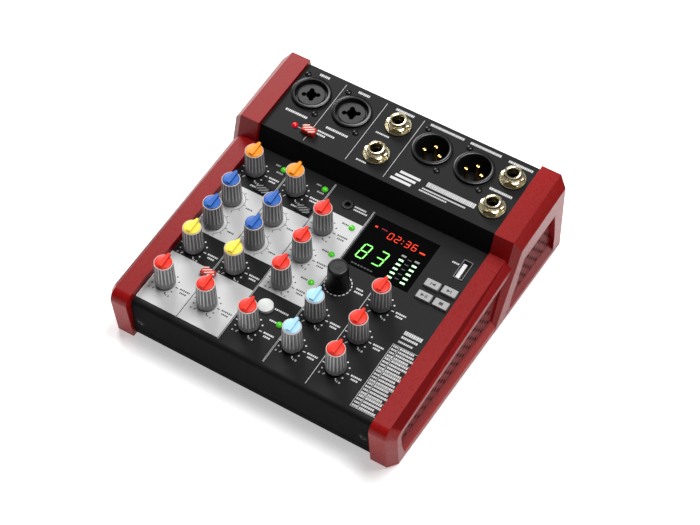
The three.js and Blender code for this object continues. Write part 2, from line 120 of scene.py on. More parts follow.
def map_range(tree, source, low, high, start=NOISE_LOW, end=NOISE_HIGH):
    node = tree.nodes.new("ShaderNodeMapRange")
    node.inputs["From Min"].default_value = start
    node.inputs["From Max"].default_value = end
    node.inputs["To Min"].default_value = low
    node.inputs["To Max"].default_value = high
    tree.links.new(source, node.inputs["Value"])
    return node


def srgb(r, g, b):
    def linear(c):
        c = c / 255.0
        return c / 12.92 if c <= 0.04045 else ((c + 0.055) / 1.055) ** 2.4

    return (linear(r), linear(g), linear(b))


def shaded(colour, factor):
    return tuple(min(c * factor, 1.0) for c in colour)


def surface(
    name, colour, roughness, metallic, vary, grain, bump, depth, cloud,
    coat=0.0, specular=0.5, rough_spread=0.12, edge_highlight=None,
):
    """A painted, moulded or plated surface: clouded colour, fine grain, uneven gloss and a painted highlight on
    convex edges.

    vary is the spread of the colour in clouds of scale cloud. The grain is a noise of scale grain,
    raised by depth mm at the strength bump; it also makes the gloss uneven.
    """
    mat, tree, shader = node_tree(name)
    link = tree.links.new
    broad = noise(tree, cloud, 5.0)
    fine = noise(tree, grain, 3.0, 0.6)
    darker, lighter = shaded(colour, 1 - vary), shaded(colour, 1 + vary)
    tint = ramp(tree, broad.outputs["Fac"], [(NOISE_LOW, darker), (NOISE_HIGH, lighter)])
    out = tint.outputs["Color"]
    # convex edges are tinted lighter: a painted highlight
    if edge_highlight is not None:
        geometry = tree.nodes.new("ShaderNodeNewGeometry")
        edge = map_range(tree, geometry.outputs["Pointiness"], 0.0, 1.0, EDGE_LOW, EDGE_HIGH)
        mix = tree.nodes.new("ShaderNodeMix")
        mix.data_type = "RGBA"
        mix.inputs["B"].default_value = (*edge_highlight, 1.0)
        link(edge.outputs["Result"], mix.inputs["Factor"])
        link(out, mix.inputs["A"])
        out = mix.outputs["Result"]
    link(out, shader.inputs["Base Color"])
    gloss = map_range(tree, fine.outputs["Fac"], roughness - rough_spread, roughness + rough_spread)
    link(gloss.outputs["Result"], shader.inputs["Roughness"])
    lift = tree.nodes.new("ShaderNodeBump")
    lift.inputs["Strength"].default_value = bump
    lift.inputs["Distance"].default_value = depth * MM
    link(fine.outputs["Fac"], lift.inputs["Height"])
    link(lift.outputs["Normal"], shader.inputs["Normal"])
    shader.inputs["Metallic"].default_value = metallic
    shader.inputs["Specular IOR Level"].default_value = specular
    if coat > 0:
        shader.inputs["Coat Weight"].default_value = coat
        shader.inputs["Coat Roughness"].default_value = COAT_ROUGHNESS
    return mat


def glowing(name, colour, strength, base=None):
    """A lit lens or segment whose light is slightly uneven."""
    mat, tree, shader = node_tree(name)
    link = tree.links.new
    spots = noise(tree, 700.0, 2.0)
    lit = ramp(tree, spots.outputs["Fac"], [(NOISE_LOW, shaded(colour, 0.8)), (NOISE_HIGH, colour)])
    link(lit.outputs["Color"], shader.inputs["Emission Color"])
    shader.inputs["Emission Strength"].default_value = strength
    shade, full = base or shaded(colour, 0.6), base or colour
    body = ramp(tree, spots.outputs["Fac"], [(NOISE_LOW, shade), (NOISE_HIGH, full)])
    link(body.outputs["Color"], shader.inputs["Base Color"])
    shader.inputs["Roughness"].default_value = 0.2
    return mat


def ink(name, tone):
    """A flat printed ink."""
    return surface(name, srgb(*tone), 0.55, 0.0, 0.1, 1500, 0.1, 0.01, 90)


def cap_skin(name, tone, vary):
    """The satin plastic of a knob's pointer cap."""
    return surface(f"cap_{name}", srgb(*tone), 0.38, 0.0, vary, 1600, 0.12, 0.02, 150, specular=0.25)


def glowing_paper(name, glow):
    """Pale paper that glows a little, so that it stays white away from the lights."""
    mat = surface(name, (0.9, 0.9, 0.9), 0.8, 0.0, 0.01, 200, 0.02, 0.01, 4, specular=0.1, rough_spread=0.05)
    shader = mat.node_tree.nodes["Principled BSDF"]
    shader.inputs["Emission Color"].default_value = (1.0, 1.0, 1.0, 1.0)
    shader.inputs["Emission Strength"].default_value = glow
    return mat


PAINT = surface("case_paint", srgb(28, 28, 29), 0.5, 0.0, 0.07, 2600, 0.35, 0.03, 25, specular=0.1)
# darker, less glossy copy of the case paint: painted shade on forward-facing faces
FRONT_SHADE_PAINT = surface("front_shade_paint", srgb(25, 25, 26), 0.6, 0.0, 0.1, 2600, 0.3, 0.03, 25, specular=0.02)
# the cheek's convex edges take a lighter red: a painted highlight
RED = surface(
    "cheek_red", srgb(138, 7, 9), 0.33, 0.0, 0.08, 1500, 0.14, 0.03, 14, specular=0.2, edge_highlight=srgb(168, 34, 30)
)
# a darker, duller red on the sunk recess walls: painted shade
RECESS_SHADE_RED = surface("recess_shade_red", srgb(112, 6, 8), 0.5, 0.0, 0.08, 1500, 0.14, 0.03, 14, specular=0.06)
# dark red inside the grille slots: painted shade
SLOT_SHADE = surface("slot_shade", srgb(58, 8, 10), 0.6, 0.0, 0.15, 1500, 0.2, 0.02, 60, specular=0.2)
PRINT = surface("silver_print", srgb(198, 198, 199), 0.55, 0.0, 0.05, 1800, 0.25, 0.02, 40, specular=0.3)
LIGHT_INK = ink("light_ink", (206, 206, 206))
DIM_INK = ink("dim_ink", (150, 150, 152))
DARK_INK = ink("dark_ink", (28, 28, 30))
# convex edges and flute ridges take a lighter grey: a painted highlight
KNOB_GREY = surface(
    "knob_grey", srgb(132, 132, 134), 0.42, 0.0, 0.08, 1800, 0.18, 0.02, 120, edge_highlight=srgb(190, 190, 190)
)
# pale grey on the crest of every ridge, all round the knob: a painted highlight
KNOB_RIDGE_HIGHLIGHT = surface("knob_ridge_highlight", srgb(214, 214, 214), 0.36, 0.0, 0.05, 1800, 0.15, 0.02, 120)
KNOB_RIM = surface("knob_rim", srgb(226, 206, 200), 0.4, 0.0, 0.04, 1800, 0.1, 0.01, 120)
CAPS = {
    "orange": cap_skin("orange", (246, 146, 10), 0.08),
    "blue": cap_skin("blue", (34, 96, 180), 0.08),
    "yellow": cap_skin("yellow", (250, 226, 78), 0.06),
    "red": cap_skin("red", (232, 44, 22), 0.08),
    "pale_blue": cap_skin("pale_blue", (172, 220, 246), 0.05),
}
BLACK = surface("black_plastic", srgb(22, 22, 24), 0.34, 0.0, 0.12, 1500, 0.15, 0.02, 90, specular=0.4)
# near-black painted shade for the insides of bores and the port's floor
HOLLOW_SHADE = surface("hollow_shade", srgb(9, 9, 10), 0.7, 0.0, 0.2, 900, 0.2, 0.02, 60, specular=0.2)
INSERT = surface("socket_insert", srgb(36, 36, 39), 0.45, 0.0, 0.08, 1500, 0.15, 0.02, 90, specular=0.3)
DULL_STEEL = surface("dull_steel", srgb(88, 88, 92), 0.4, 0.6, 0.08, 1200, 0.05, 0.01, 200)
PALE_TONGUE = surface("port_tongue", srgb(214, 214, 216), 0.35, 0.2, 0.06, 1200, 0.05, 0.01, 200)
BRASS = surface("brass_plate", srgb(236, 224, 188), 0.2, 1.0, 0.07, 1200, 0.06, 0.01, 220)
GOLD = surface("gold_pin", srgb(228, 190, 110), 0.22, 1.0, 0.06, 1200, 0.05, 0.01, 300)
SCREW = surface("black_screw", srgb(34, 34, 36), 0.26, 0.6, 0.1, 1500, 0.1, 0.01, 200)
BUTTON_RED = surface("button_red", srgb(214, 44, 34), 0.32, 0.0, 0.08, 1500, 0.12, 0.02, 120, coat=0.2)
BUTTON_BLACK = surface("button_black", srgb(42, 42, 44), 0.4, 0.0, 0.1, 1500, 0.12, 0.02, 120)
BUTTON_GREY = surface("button_grey", srgb(158, 158, 158), 0.4, 0.0, 0.06, 1500, 0.12, 0.02, 120)
PALE = surface("pale_ridge", srgb(240, 226, 214), 0.4, 0.0, 0.05, 1500, 0.1, 0.01, 120)
PAIR_SKIN = surface("pairing_skin", srgb(196, 198, 196), 0.5, 0.1, 0.1, 1400, 0.5, 0.05, 700)
GLASS = surface(
    "display_glass", srgb(4, 4, 5), 0.1, 0.0, 0.2, 500, 0.02, 0.005, 40, specular=0.3, rough_spread=0.02
)
RUBBER = surface("rubber", srgb(24, 24, 25), 0.75, 0.0, 0.15, 900, 0.4, 0.05, 120, specular=0.25)
BOARD = surface("circuit_board", srgb(28, 92, 58), 0.45, 0.0, 0.12, 800, 0.1, 0.02, 60)
LAMP_GREEN = glowing("lamp_green", srgb(86, 214, 34), 0.35, srgb(60, 170, 24))
LAMP_RED = glowing("lamp_red", srgb(226, 12, 34), 0.35, srgb(200, 10, 30))
DIGIT_GREEN = glowing("digit_green", srgb(140, 250, 120), 1.0)
DIGIT_RED = glowing("digit_red", srgb(250, 62, 38), 0.95)
BAR_LIGHT = glowing("bar_light", srgb(196, 246, 196), 0.95)
BAR_DIM = glowing("bar_dim", srgb(130, 134, 132), 0.7)
DIM_RED = glowing("dim_red", srgb(140, 34, 50), 0.5)
DIM_GREY = surface("dim_legend", srgb(40, 42, 44), 0.5, 0.0, 0.2, 900, 0.05, 0.01, 200)
FLOOR = glowing_paper("floor_paper", 0.47)


# ---- Mesh building in a panel's own millimetres ----
class Shape:
    """Collects faces with a material number each, then becomes one object."""

    def __init__(self):
        self.verts = []
        self.faces = []
        self.skins = []

    def add(self, verts, faces, skin=0, at=(0, 0, 0), turn=0.0):
        start = len(self.verts)
        move = Matrix.Translation(at) @ Matrix.Rotation(turn, 4, "Z")
        self.verts += [move @ Vector(v) for v in verts]
        self.faces += [[start + i for i in f] for f in faces]
        self.skins += [skin] * len(faces)
        return self

    def turned(self, profile, sides=48, skin=0, at=(0, 0, 0), radius=None):
        """A body of revolution. Each profile point is (r, z) or (r, z, skin of the band after it).

        radius(r, z, angle) may change the radius round the axis.
        """
        verts, faces, skins = [], [], []
        rings = []
        for point in profile:
            r, z = point[0], point[1]
            if r < 1e-6:
                rings.append([len(verts)])
                verts.append((0, 0, z))
                continue
            ring = []
            for i in range(sides):
                t = 2 * math.pi * i / sides
                rr = r if radius is None else radius(r, z, t)
                ring.append(len(verts))
                verts.append((rr * math.cos(t), rr * math.sin(t), z))
            rings.append(ring)
        for k, (a, b) in enumerate(zip(rings, rings[1:])):
            band = profile[k][2] if len(profile[k]) > 2 else skin
            for i in range(sides):
                j = (i + 1) % sides
                if len(a) == 1:
                    faces.append([a[0], b[j], b[i]])
                elif len(b) == 1:
                    faces.append([a[i], a[j], b[0]])
                else:
                    faces.append([a[i], a[j], b[j], b[i]])
                skins.append(band)
        for face, band in zip(faces, skins):
            self.add([verts[i] for i in face], [list(range(len(face)))], band, at)
        return self

    def prism(self, outline, low, high, skin=0, at=(0, 0, 0), turn=0.0, taper=0.0):
        """A flat outline of (x, y) points, anticlockwise, raised from low to high and drawn in by taper."""
        n = len(outline)
        cx = sum(p[0] for p in outline) / n
        cy = sum(p[1] for p in outline) / n
        top = [(cx + (x - cx) * (1 - taper), cy + (y - cy) * (1 - taper)) for x, y in outline]
        verts = [(x, y, low) for x, y in outline] + [(x, y, high) for x, y in top]
        faces = [list(range(n - 1, -1, -1)), list(range(n, 2 * n))]
        faces += [[i, (i + 1) % n, n + (i + 1) % n, n + i] for i in range(n)]
        return self.add(verts, faces, skin, at, turn)

    def bar(self, x0, x1, y0, y1, low, high, skin=0, at=(0, 0, 0), turn=0.0):
        return self.prism([(x0, y0), (x1, y0), (x1, y1), (x0, y1)], low, high, skin, at, turn)

    def mesh(self, name, skins, angle=35.0):
        data = bpy.data.meshes.new(name)
        data.from_pydata([tuple(v) for v in self.verts], [], self.faces)
        for skin in skins:
            data.materials.append(skin)
        for face, skin in zip(data.polygons, self.skins):
            face.material_index = skin
        bm = bmesh.new()
        bm.from_mesh(data)
        bmesh.ops.remove_doubles(bm, verts=bm.verts, dist=1e-4)
        bm.to_mesh(data)
        bm.free()
        smooth(data, angle)
        return data

    def object(self, name, panel, skins, at=(0, 0, 0), turn=0.0, angle=35.0):
        return put(self.mesh(name, skins, angle), name, panel, at, turn)


def smooth(data, angle):
    data.shade_smooth()
    data.set_sharp_from_angle(angle=math.radians(angle))


def put(data, name, panel, at=(0, 0, 0), turn=0.0):
    obj = bpy.data.objects.new(name, data)
    bpy.context.scene.collection.objects.link(obj)
    obj.matrix_world = panel @ Matrix.Translation(at) @ Matrix.Rotation(turn, 4, "Z")
    return obj


def bevel(obj, width, segments=2, angle=30.0):
    mod = obj.modifiers.new("bevel", "BEVEL")
    mod.width = width
    mod.segments = segments
    mod.limit_method = "ANGLE"
    mod.angle_limit = math.radians(angle)


def even_shading(obj):
    """Shades big flat faces flat where they meet small rounded ones."""
    mod = obj.modifiers.new("even_shading", "WEIGHTED_NORMAL")
    mod.keep_sharp = True
    mod.weight = 80


def bake(obj):
    """Applies the object's modifiers to its mesh."""
    bpy.context.view_layer.update()
    done = obj.evaluated_get(bpy.context.evaluated_depsgraph_get())
    data = bpy.data.meshes.new_from_object(done)
    obj.modifiers.clear()
    obj.data = data


def carve(obj, cutter):
    """Cuts one object out of another, and removes the cutter."""
    mod = obj.modifiers.new("cut", "BOOLEAN")
    mod.operation = "DIFFERENCE"
    mod.solver = "EXACT"
    mod.object = cutter
    bake(obj)
    bpy.data.objects.remove(cutter)


def circle(radius, sides):
    steps = [2 * math.pi * i / sides for i in range(sides)]
    return [(radius * math.cos(t), radius * math.sin(t)) for t in steps]


def rounded_box(w, d, r, steps=5):
    out = []
    for qx, qy, start in ((1, -1, -90), (1, 1, 0), (-1, 1, 90), (-1, -1, 180)):
        for i in range(steps + 1):
            t = math.radians(start + 90 * i / steps)
            out.append((qx * (w / 2 - r) + r * math.cos(t), qy * (d / 2 - r) + r * math.sin(t)))
    return out


def finish_piece(obj, body, slot, *nodes):
    """Rides a piece on its body, in place of the CAD nodes it stands for; the slot argument is not used."""
    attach(obj, body)
    if nodes:
        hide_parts(*nodes)


def refined(node, name, skins, width, angle=30.0):
    """A finer copy of a CAD solid: its flat faces joined up and its edges rounded."""
    source = frame["nodes"][node]
    data = source.data.copy()
    data.name = name
    data.transform(source.matrix_world)
    data.materials.clear()
    for skin in skins:
        data.materials.append(skin)
    bm = bmesh.new()
    bm.from_mesh(data)
    bmesh.ops.remove_doubles(bm, verts=bm.verts, dist=1e-6)
    bmesh.ops.dissolve_limit(bm, angle_limit=math.radians(1.0), verts=bm.verts, edges=bm.edges)
    for face in bm.faces:
        face.material_index = 0
    bm.to_mesh(data)
    bm.free()
    obj = put(data, name, Matrix.Identity(4))
    bevel(obj, width * MM, 3, angle)
    bake(obj)
    smooth(obj.data, 40.0)
    even_shading(obj)
    return obj


# ---- Case ----
FASCIA_LIMIT = -100.0  # whatever leans forward beyond this, from the riser's foot, is fascia


def case():
    """The bent sheet and the pan under it; the forward-facing riser and fascia faces, and the pan, take a darker,
    less glossy paint as painted shade.
    """
    obj = refined("top_case", "case_sheet", [PAINT, FRONT_SHADE_PAINT], 0.25)
    riser_low, riser_high = RISER_FOOT.z + 0.6 * MM, RISER_TOP.z - 0.4 * MM
    fascia_limit = RISER_FOOT.y + FASCIA_LIMIT * MM
    for face in obj.data.polygons:
        leaning_forward = face.normal.y < -0.75
        on_riser = riser_low < face.center.z < riser_high and face.center.y > RISER_FOOT.y - MM
        on_fascia = face.center.y < fascia_limit
        # only forward-facing faces of the riser and fascia take the painted shade
        if leaning_forward and (on_riser or on_fascia):
            face.material_index = 1
    finish_piece(obj, "case", "case_paint", "top_case")
    pan = refined("bottom_pan", "pan", [FRONT_SHADE_PAINT], 0.35)
    finish_piece(pan, "case", "case_paint", "bottom_pan")


# ---- Cheeks ----
SLOT_W = 2.7  # slot along the cheek
SLOT_H = 2.0
SLOT_DEPTH = 2.6
SLOT_PITCH = 7.2
SLOT_SHIFT = 3.55  # each row starts half a pitch further forward
ROW_PITCH = 4.1
SLOT_ZONE = (11.0, 36.0)  # heights between which all the slots lie
RECESS_SILL = 13.0  # height where the ends of a recess are stated
# Sunk walls of the recesses: x, the place of one slot, and the ends with their lean for each mm up
LOW_WALL = {
    "x": 88.0, "y": -52.4, "z": 21.7, "rows": range(-1, 3),
    "from": -115.0, "to": -14.0, "front_lean": 0.0, "back_lean": 0.0,
}
HIGH_WALL = {
    "x": 89.0, "y": 27.2, "z": 29.5, "rows": range(-1, 5),
    "from": 8.0, "to": 62.0, "front_lean": 0.18, "back_lean": 0.29,
}


def grille_cutter(side):
    """Staggered rows of short slots along both recesses of a cheek, measured from the riser's foot."""
    shape = Shape()
    for wall in (LOW_WALL, HIGH_WALL):
        x0, x1 = sorted((side * (wall["x"] - SLOT_DEPTH), side * (wall["x"] + 0.9)))
        for row in wall["rows"]:
            z = wall["z"] - ROW_PITCH * row
            back = wall["to"] - wall["back_lean"] * (z - RECESS_SILL)
            front = wall["from"] + wall["front_lean"] * (z - RECESS_SILL)
            y = wall["y"] - SLOT_SHIFT * row
            y += SLOT_PITCH * math.ceil((front - y) / SLOT_PITCH)
            while y < back:
                shape.bar(x0, x1, y - SLOT_W / 2, y + SLOT_W / 2, z - SLOT_H / 2, z + SLOT_H / 2)
                y += SLOT_PITCH
    return shape.object("grille_cutter", RISER, [HOLLOW_SHADE])


def in_slot(point):
    """Whether a place in metres lies inside the slots behind either recess wall."""
    x, y, z = abs(point.x) / MM, (point.y - RISER_FOOT.y) / MM, point.z / MM
    for wall in (LOW_WALL, HIGH_WALL):
        behind = wall["x"] - SLOT_DEPTH - 0.1 < x < wall["x"] - 0.05
        between = wall["from"] - 2 < y < wall["to"] + 2
        if behind and between and SLOT_ZONE[0] < z < SLOT_ZONE[1]:
            return True
    return False


def on_recess(point):
    """Whether a place in metres lies on the sunk wall of either recess."""
    x, y = abs(point.x) / MM, (point.y - RISER_FOOT.y) / MM
    for wall in (LOW_WALL, HIGH_WALL):
        if abs(x - wall["x"]) < 0.3 and wall["from"] - 8 < y < wall["to"] + 8:
            return True
    return False


def cheek(node, name, side):
    """A moulded cheek with slots cut into its recesses, painted darker inside the slots and on the sunk recess
    walls as painted shade; side is 1 for right and -1 for left.
    """
    obj = refined(node, name, [RED], 0.45, 24.0)
    obj.modifiers.clear()  # the slots are cut before the shading is evened out
    carve(obj, grille_cutter(side))
    obj.data.materials.clear()
    for skin in (RED, SLOT_SHADE, RECESS_SHADE_RED):
        obj.data.materials.append(skin)
    for face in obj.data.polygons:
        # slot insides and sunk recess walls take the painted shade
        face.material_index = 1 if in_slot(face.center) else 2 if on_recess(face.center) else 0
    smooth(obj.data, 40.0)
    even_shading(obj)
    finish_piece(obj, "case", "cheek_plastic", node)


# ---- Knobs ----
FLUTES = 18
FLUTE_DEPTH = 0.5
FLUTE_FOOT, FLUTE_FADE, FLUTE_TOP = 3.6, 3.0, 18.0  # lower end, height over which they deepen, upper end
FLUTE_SHARPNESS = 2.2
RIDGE_FROM, RIDGE_TO = 4.6, 17.9  # heights between which the ridges carry a painted highlight


def flute(r, z, t):
    """Narrow grooves that fade out towards the knob's smooth skirt."""
    fade = min(max((z - FLUTE_FOOT) / FLUTE_FADE, 0.0), 1.0) if z < FLUTE_TOP else 0.0
    groove = max(0.0, math.cos(FLUTES * t)) ** FLUTE_SHARPNESS
    return r - FLUTE_DEPTH * fade * groove


def knob_mesh():
    """A knob's fluted body, with a pale rim at its top and a painted highlight on the ridges between the flutes.
    """
    profile = [
        (0, 0.9), (5.5, 0.9), (5.85, 1.25), (5.9, 2.0), (5.86, 3.6), (5.82, 5.0), (5.78, 6.6),
        (5.6, 11.5), (5.42, 16.6), (5.38, 17.6), (5.36, 17.95), (5.34, 18.1, 1), (5.28, 18.5, 1),
        (5.12, 18.64, 1), (4.96, 18.64, 1), (4.9, 18.3, 1), (0, 18.3),
    ]
    shape = Shape().turned(profile, FLUTES * 8, 0, radius=flute)
    for i, face in enumerate(shape.faces):
        middle = sum((shape.verts[v] for v in face), Vector()) / len(face)
        on_ridge = math.cos(FLUTES * math.atan2(middle.y, middle.x)) < -0.5
        if on_ridge and shape.skins[i] == 0 and RIDGE_FROM < middle.z < RIDGE_TO:
            shape.skins[i] = 2
    return shape.mesh("knob_body", [KNOB_GREY, KNOB_RIM, KNOB_RIDGE_HIGHLIGHT], 50)


def cap_mesh(colour):
    """The coloured disc on a knob, with its raised pointer."""
    shape = Shape()
    shape.turned([(0, 17.9), (4.85, 17.9), (4.85, 18.6), (4.6, 18.9), (3.6, 19.1), (0, 19.2)], 48)
    back, tip = -4.3, 6.55
    ridge = [(-1.5, back), (1.5, back), (1.25, 4.9), (0.6, tip), (-0.6, tip), (-1.25, 4.9)]
    shape.prism(ridge, 18.2, 20.05, taper=0.1)
    return shape.mesh(f"cap_{colour}", [CAPS[colour]], 40)


def pot_knobs():
    """Names of the knobs that turn a pot: the ones with a coloured cap."""
    return [node for node in frame["nodes"] if frame_slots[node].startswith("cap_")]


def knobs():
    body_mesh = knob_mesh()
    cap_meshes = {}
    for node in sorted(pot_knobs()):
        colour = frame_slots[node].removeprefix("cap_")
        if colour not in cap_meshes:
            cap_meshes[colour] = cap_mesh(colour)
        x, u, _ = joint_place(node, FRONT)
        body = put(body_mesh, f"{node}_body", FRONT, (x, u, 0))
        finish_piece(body, node, "knob_grey", node)
        cap = put(cap_meshes[colour], f"{node}_cap", FRONT, (x, u, 0))
        bevel(cap, 0.18, 2, 35)
        finish_piece(cap, node, frame_slots[node])


KNURLS = 40
KNURL_DEPTH = 0.16
KNURL_FROM, KNURL_TO = 2.6, 15.6


def knurl(r, z, t):
    """Fine upright ridges round the effect selector."""
    if not KNURL_FROM < z < KNURL_TO:
        return r
    return r - KNURL_DEPTH * (0.5 + 0.5 * math.cos(KNURLS * t))


def encoder():
    """The black effect selector, which has no cap."""
    node = "effect_select_knob"
    x, u, _ = joint_place(node, FRONT)
    profile = [
        (0, 0.7), (6.3, 0.7), (6.6, 1.1), (6.58, 2.2), (6.4, 2.9), (6.1, 9.0), (5.9, 15.3),
        (5.86, 15.9), (5.6, 16.6), (5.1, 16.95), (4.7, 16.95), (4.5, 16.6), (0, 16.55),
    ]
    shape = Shape().turned(profile, 240, 0, radius=knurl)
    shape.turned([(0, 16.5), (1.9, 16.5), (1.7, 16.68), (0, 16.72)], 32)
    obj = shape.object("effect_select_body", FRONT, [BLACK], (x, u, 0))
    finish_piece(obj, node, "black_plastic", node)


# ---- Buttons ----
BUTTON_FOOT = -3.4  # how far a button reaches into its panel
HATCH_LENGTH = 4.8
HATCHES = 4
HATCH_PITCH = 1.55
HATCH_SLANT = math.radians(33)
KEY_LENGTH = 5.4
# Where each button's middle lies along its panel
PANEL_PLACE = {
    "low_cut_button_1": -26.8,
    "low_cut_button_2": -26.8,
    "mono_stereo_button": -92.3,
    "phantom_power_button": 8.6,
    "previous_button": -34.7,
    "next_button": -34.3,
    "play_button": -43.9,
    "stop_button": -43.9,
    "pairing_button": -94.0,
}


def button_place(node, panel):
    """A button's middle across and along its panel, and its width."""
    low, high = (Vector(p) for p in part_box(node))
    return centre(node, panel).x, PANEL_PLACE[node], (high.x - low.x) / MM


def hatched_button(node, panel, out, skin, ridge_skin, slot):
    """A rectangular push button that stands out from its panel, with slanting ridges across its top."""
    x, u, w = button_place(node, panel)
    outline = rounded_box(w, HATCH_LENGTH, 0.6)
    shape = Shape()
    shape.prism(outline, BUTTON_FOOT, out - 0.8, 0)
    shape.prism(outline, out - 0.8, out - 0.2, 0, taper=0.1)
    for k in range(HATCHES):
        from_middle = k - (HATCHES - 1) / 2
        offset = from_middle * HATCH_PITCH
        reach = 2.9 - 0.55 * abs(from_middle)
        at = (offset * 1.1, -offset * 0.62, 0)
        shape.bar(-reach, reach, -0.33, 0.33, out - 0.3, out, 1, at, HATCH_SLANT)
    obj = shape.object(f"{node}_cap", panel, [skin, ridge_skin], (x, u, 0), 0.0, 30)
    bevel(obj, 0.12, 2, 35)
    finish_piece(obj, node, slot, node)


def shifted(outline, dx):
    return [(x + dx, y) for x, y in outline]


def icon(name):
    """Outlines of the four transport symbols, as lists of corner points."""
    forward = [(-1.2, -1.1), (1.0, 0.0), (-1.2, 1.1)]
    backward = [(1.2, -1.1), (1.2, 1.1), (-1.0, 0.0)]
    stripe = [(-0.22, -1.1), (0.22, -1.1), (0.22, 1.1), (-0.22, 1.1)]
    if name == "previous_button":
        return [shifted(backward, 0.5), shifted(stripe, -0.9)]
    if name == "next_button":
        return [shifted(forward, -0.5), shifted(stripe, 0.9)]
    if name == "play_button":
        return [shifted(forward, -0.9), shifted(stripe, 0.8), shifted(stripe, 1.6)]
    return [[(-1.2, -1.0), (1.2, -1.0), (1.2, 1.0), (-1.2, 1.0)]]


def transport_button(node):
    x, u, w = button_place(node, FRONT)
    outline = rounded_box(w, KEY_LENGTH, 0.5)
    shape = Shape()
    shape.prism(outline, BUTTON_FOOT, 1.2, 0)
    shape.prism(outline, 1.2, 1.7, 0, taper=0.07)
    for symbol in icon(node):
        shape.prism(symbol, 1.6, 1.76, 1)
    obj = shape.object(f"{node}_cap", FRONT, [BUTTON_GREY, DARK_INK], (x, u, 0), 0.0, 30)
    finish_piece(obj, node, "button_grey", node)


def pairing_button():
    node = "pairing_button"
    shape = Shape()
    x, u, _ = button_place(node, FRONT)
    profile = [(0, BUTTON_FOOT), (4.6, BUTTON_FOOT), (4.6, 1.1), (4.45, 1.45), (4.1, 1.6), (0, 1.6)]
    shape.turned(profile, 64)
    obj = shape.object("pairing_button_cap", FRONT, [PAIR_SKIN], (x, u, 0))
    finish_piece(obj, node, "button_grey", node)


def buttons():
    for node in ("low_cut_button_1", "low_cut_button_2"):
        hatched_button(node, FRONT, 1.2, BUTTON_BLACK, DIM_INK, "black_plastic")
    hatched_button("mono_stereo_button", FRONT, 3.6, BUTTON_RED, PALE, "button_red")
    hatched_button("phantom_power_button", REAR, 3.6, BUTTON_RED, PALE, "button_red")
    for node in ("previous_button", "next_button", "play_button", "stop_button"):
        transport_button(node)
    pairing_button()
    power = refined("power_button", "power_button_cap", [BLACK], 0.5)
    finish_piece(power, "power_button", "black_plastic", "power_button")


# ---- Sockets ----
XLR_V = 33.9  # the round sockets' middles, up the rear panel
XLR_PLACES = {
    "mic_line_socket_1": -63.5,
    "mic_line_socket_2": -36.15,
    "main_output_left": 17.2,
    "main_output_right": 44.4,
}
LOBES = ((25, 3.8), (115, 3.4), (205, 4.4), (295, 3.2))  # angle, and distance from the middle
XLR_SCREWS = ((-9.5, 12.0), (9.5, -12.0))  # from the socket's middle
SCREW_R = 1.9
PIN_CIRCLE = 4.95
JACKS = {"line_input_left": 38.8, "line_input_right": 14.6, "foot_switch_jack": 38.5, "phones_jack": 14.9}
NUT_FLAT = 6.2  # half the nut across its flats
NUT_TURN = math.radians(12)
THREAD_PITCH = 0.7
MEDIA_PORT_U = -16.8
PORT_FLOOR = -10.8
SMALL_SOCKET_U = -10.6


def combo_socket(node):
    """A combination microphone socket: a ringed insert with a four-lobed opening."""
    shape = Shape()
    rim = [
        (0, -24), (11.0, -24), (11.0, 0.3), (11.9, 0.3), (11.9, 1.1, 2), (11.7, 1.6, 2),
        (11.35, 1.7, 2), (11.0, 1.5), (9.9, 1.45), (9.6, 1.2), (9.4, -0.8), (8.9, -1.6),
        (8.3, -1.6), (8.1, -0.9, 1), (7.7, -0.6, 1), (0, -0.6, 1),
    ]
    shape.turned(rim, 96)
    obj = shape.object(f"{node}_face", REAR, [BLACK, INSERT, SCREW], (XLR_PLACES[node], XLR_V, 0))
    cutter = Shape()
    cutter.prism(circle(3.1, 32), -16, 2)
    for deg, reach in LOBES:
        t = math.radians(deg)
        cutter.prism(circle(1.5, 20), -14, 2, 0, (reach * math.cos(t), reach * math.sin(t), 0))
    hole = cutter.object("combo_cutter", REAR, [HOLLOW_SHADE], (XLR_PLACES[node], XLR_V, 0))
    union_self(hole)
    carve(obj, hole)
    smooth(obj.data, 35)
    finish_piece(obj, "case", "black_plastic", node)


def union_self(obj):
    """Joins the overlapping closed bodies of one mesh."""
    empty = bpy.data.meshes.new("empty")
    seed = bpy.data.objects.new("seed", empty)
    bpy.context.scene.collection.objects.link(seed)
    boolean = obj.modifiers.new("self", "BOOLEAN")
    boolean.operation = "UNION"
    boolean.solver = "EXACT"
    boolean.use_self = True
    boolean.object = seed
    bake(obj)
    bpy.data.objects.remove(seed)


def male_socket(node):
    """An output socket with three pins in a deep well."""
    shape = Shape()
    rim = [
        (0, -20), (11.0, -20), (11.0, 0.3), (11.9, 0.3), (11.9, 1.0, 2), (11.7, 1.55, 2),
        (11.3, 1.7, 2), (10.4, 1.7), (9.9, 1.5), (9.6, 1.0), (9.5, -14.6), (9.2, -15), (0, -15, 1),
    ]
    shape.turned(rim, 96)
    for deg in (0, 90, 180):
        t = math.radians(deg)
        at = (PIN_CIRCLE * math.cos(t), PIN_CIRCLE * math.sin(t), 0)
        shape.turned([(0, -15.5), (1.2, -15.5), (1.2, -3.2), (1.0, -2.5), (0, -2.2)], 24, 3, at)
    shape.bar(-1.3, 1.3, -9.5, -8.3, -15, -1.0, 0)
    obj = shape.object(f"{node}_face", REAR, [BLACK, HOLLOW_SHADE, SCREW, GOLD], (XLR_PLACES[node], XLR_V, 0))
    finish_piece(obj, "case", "black_plastic", node)


def hexagon(r, z, t):
    """Radius of a six-sided nut at the angle t, no more than r."""
    sixth = math.radians(60)
    flat = (t - NUT_TURN) % sixth - sixth / 2
    return min(r, NUT_FLAT / math.cos(flat))


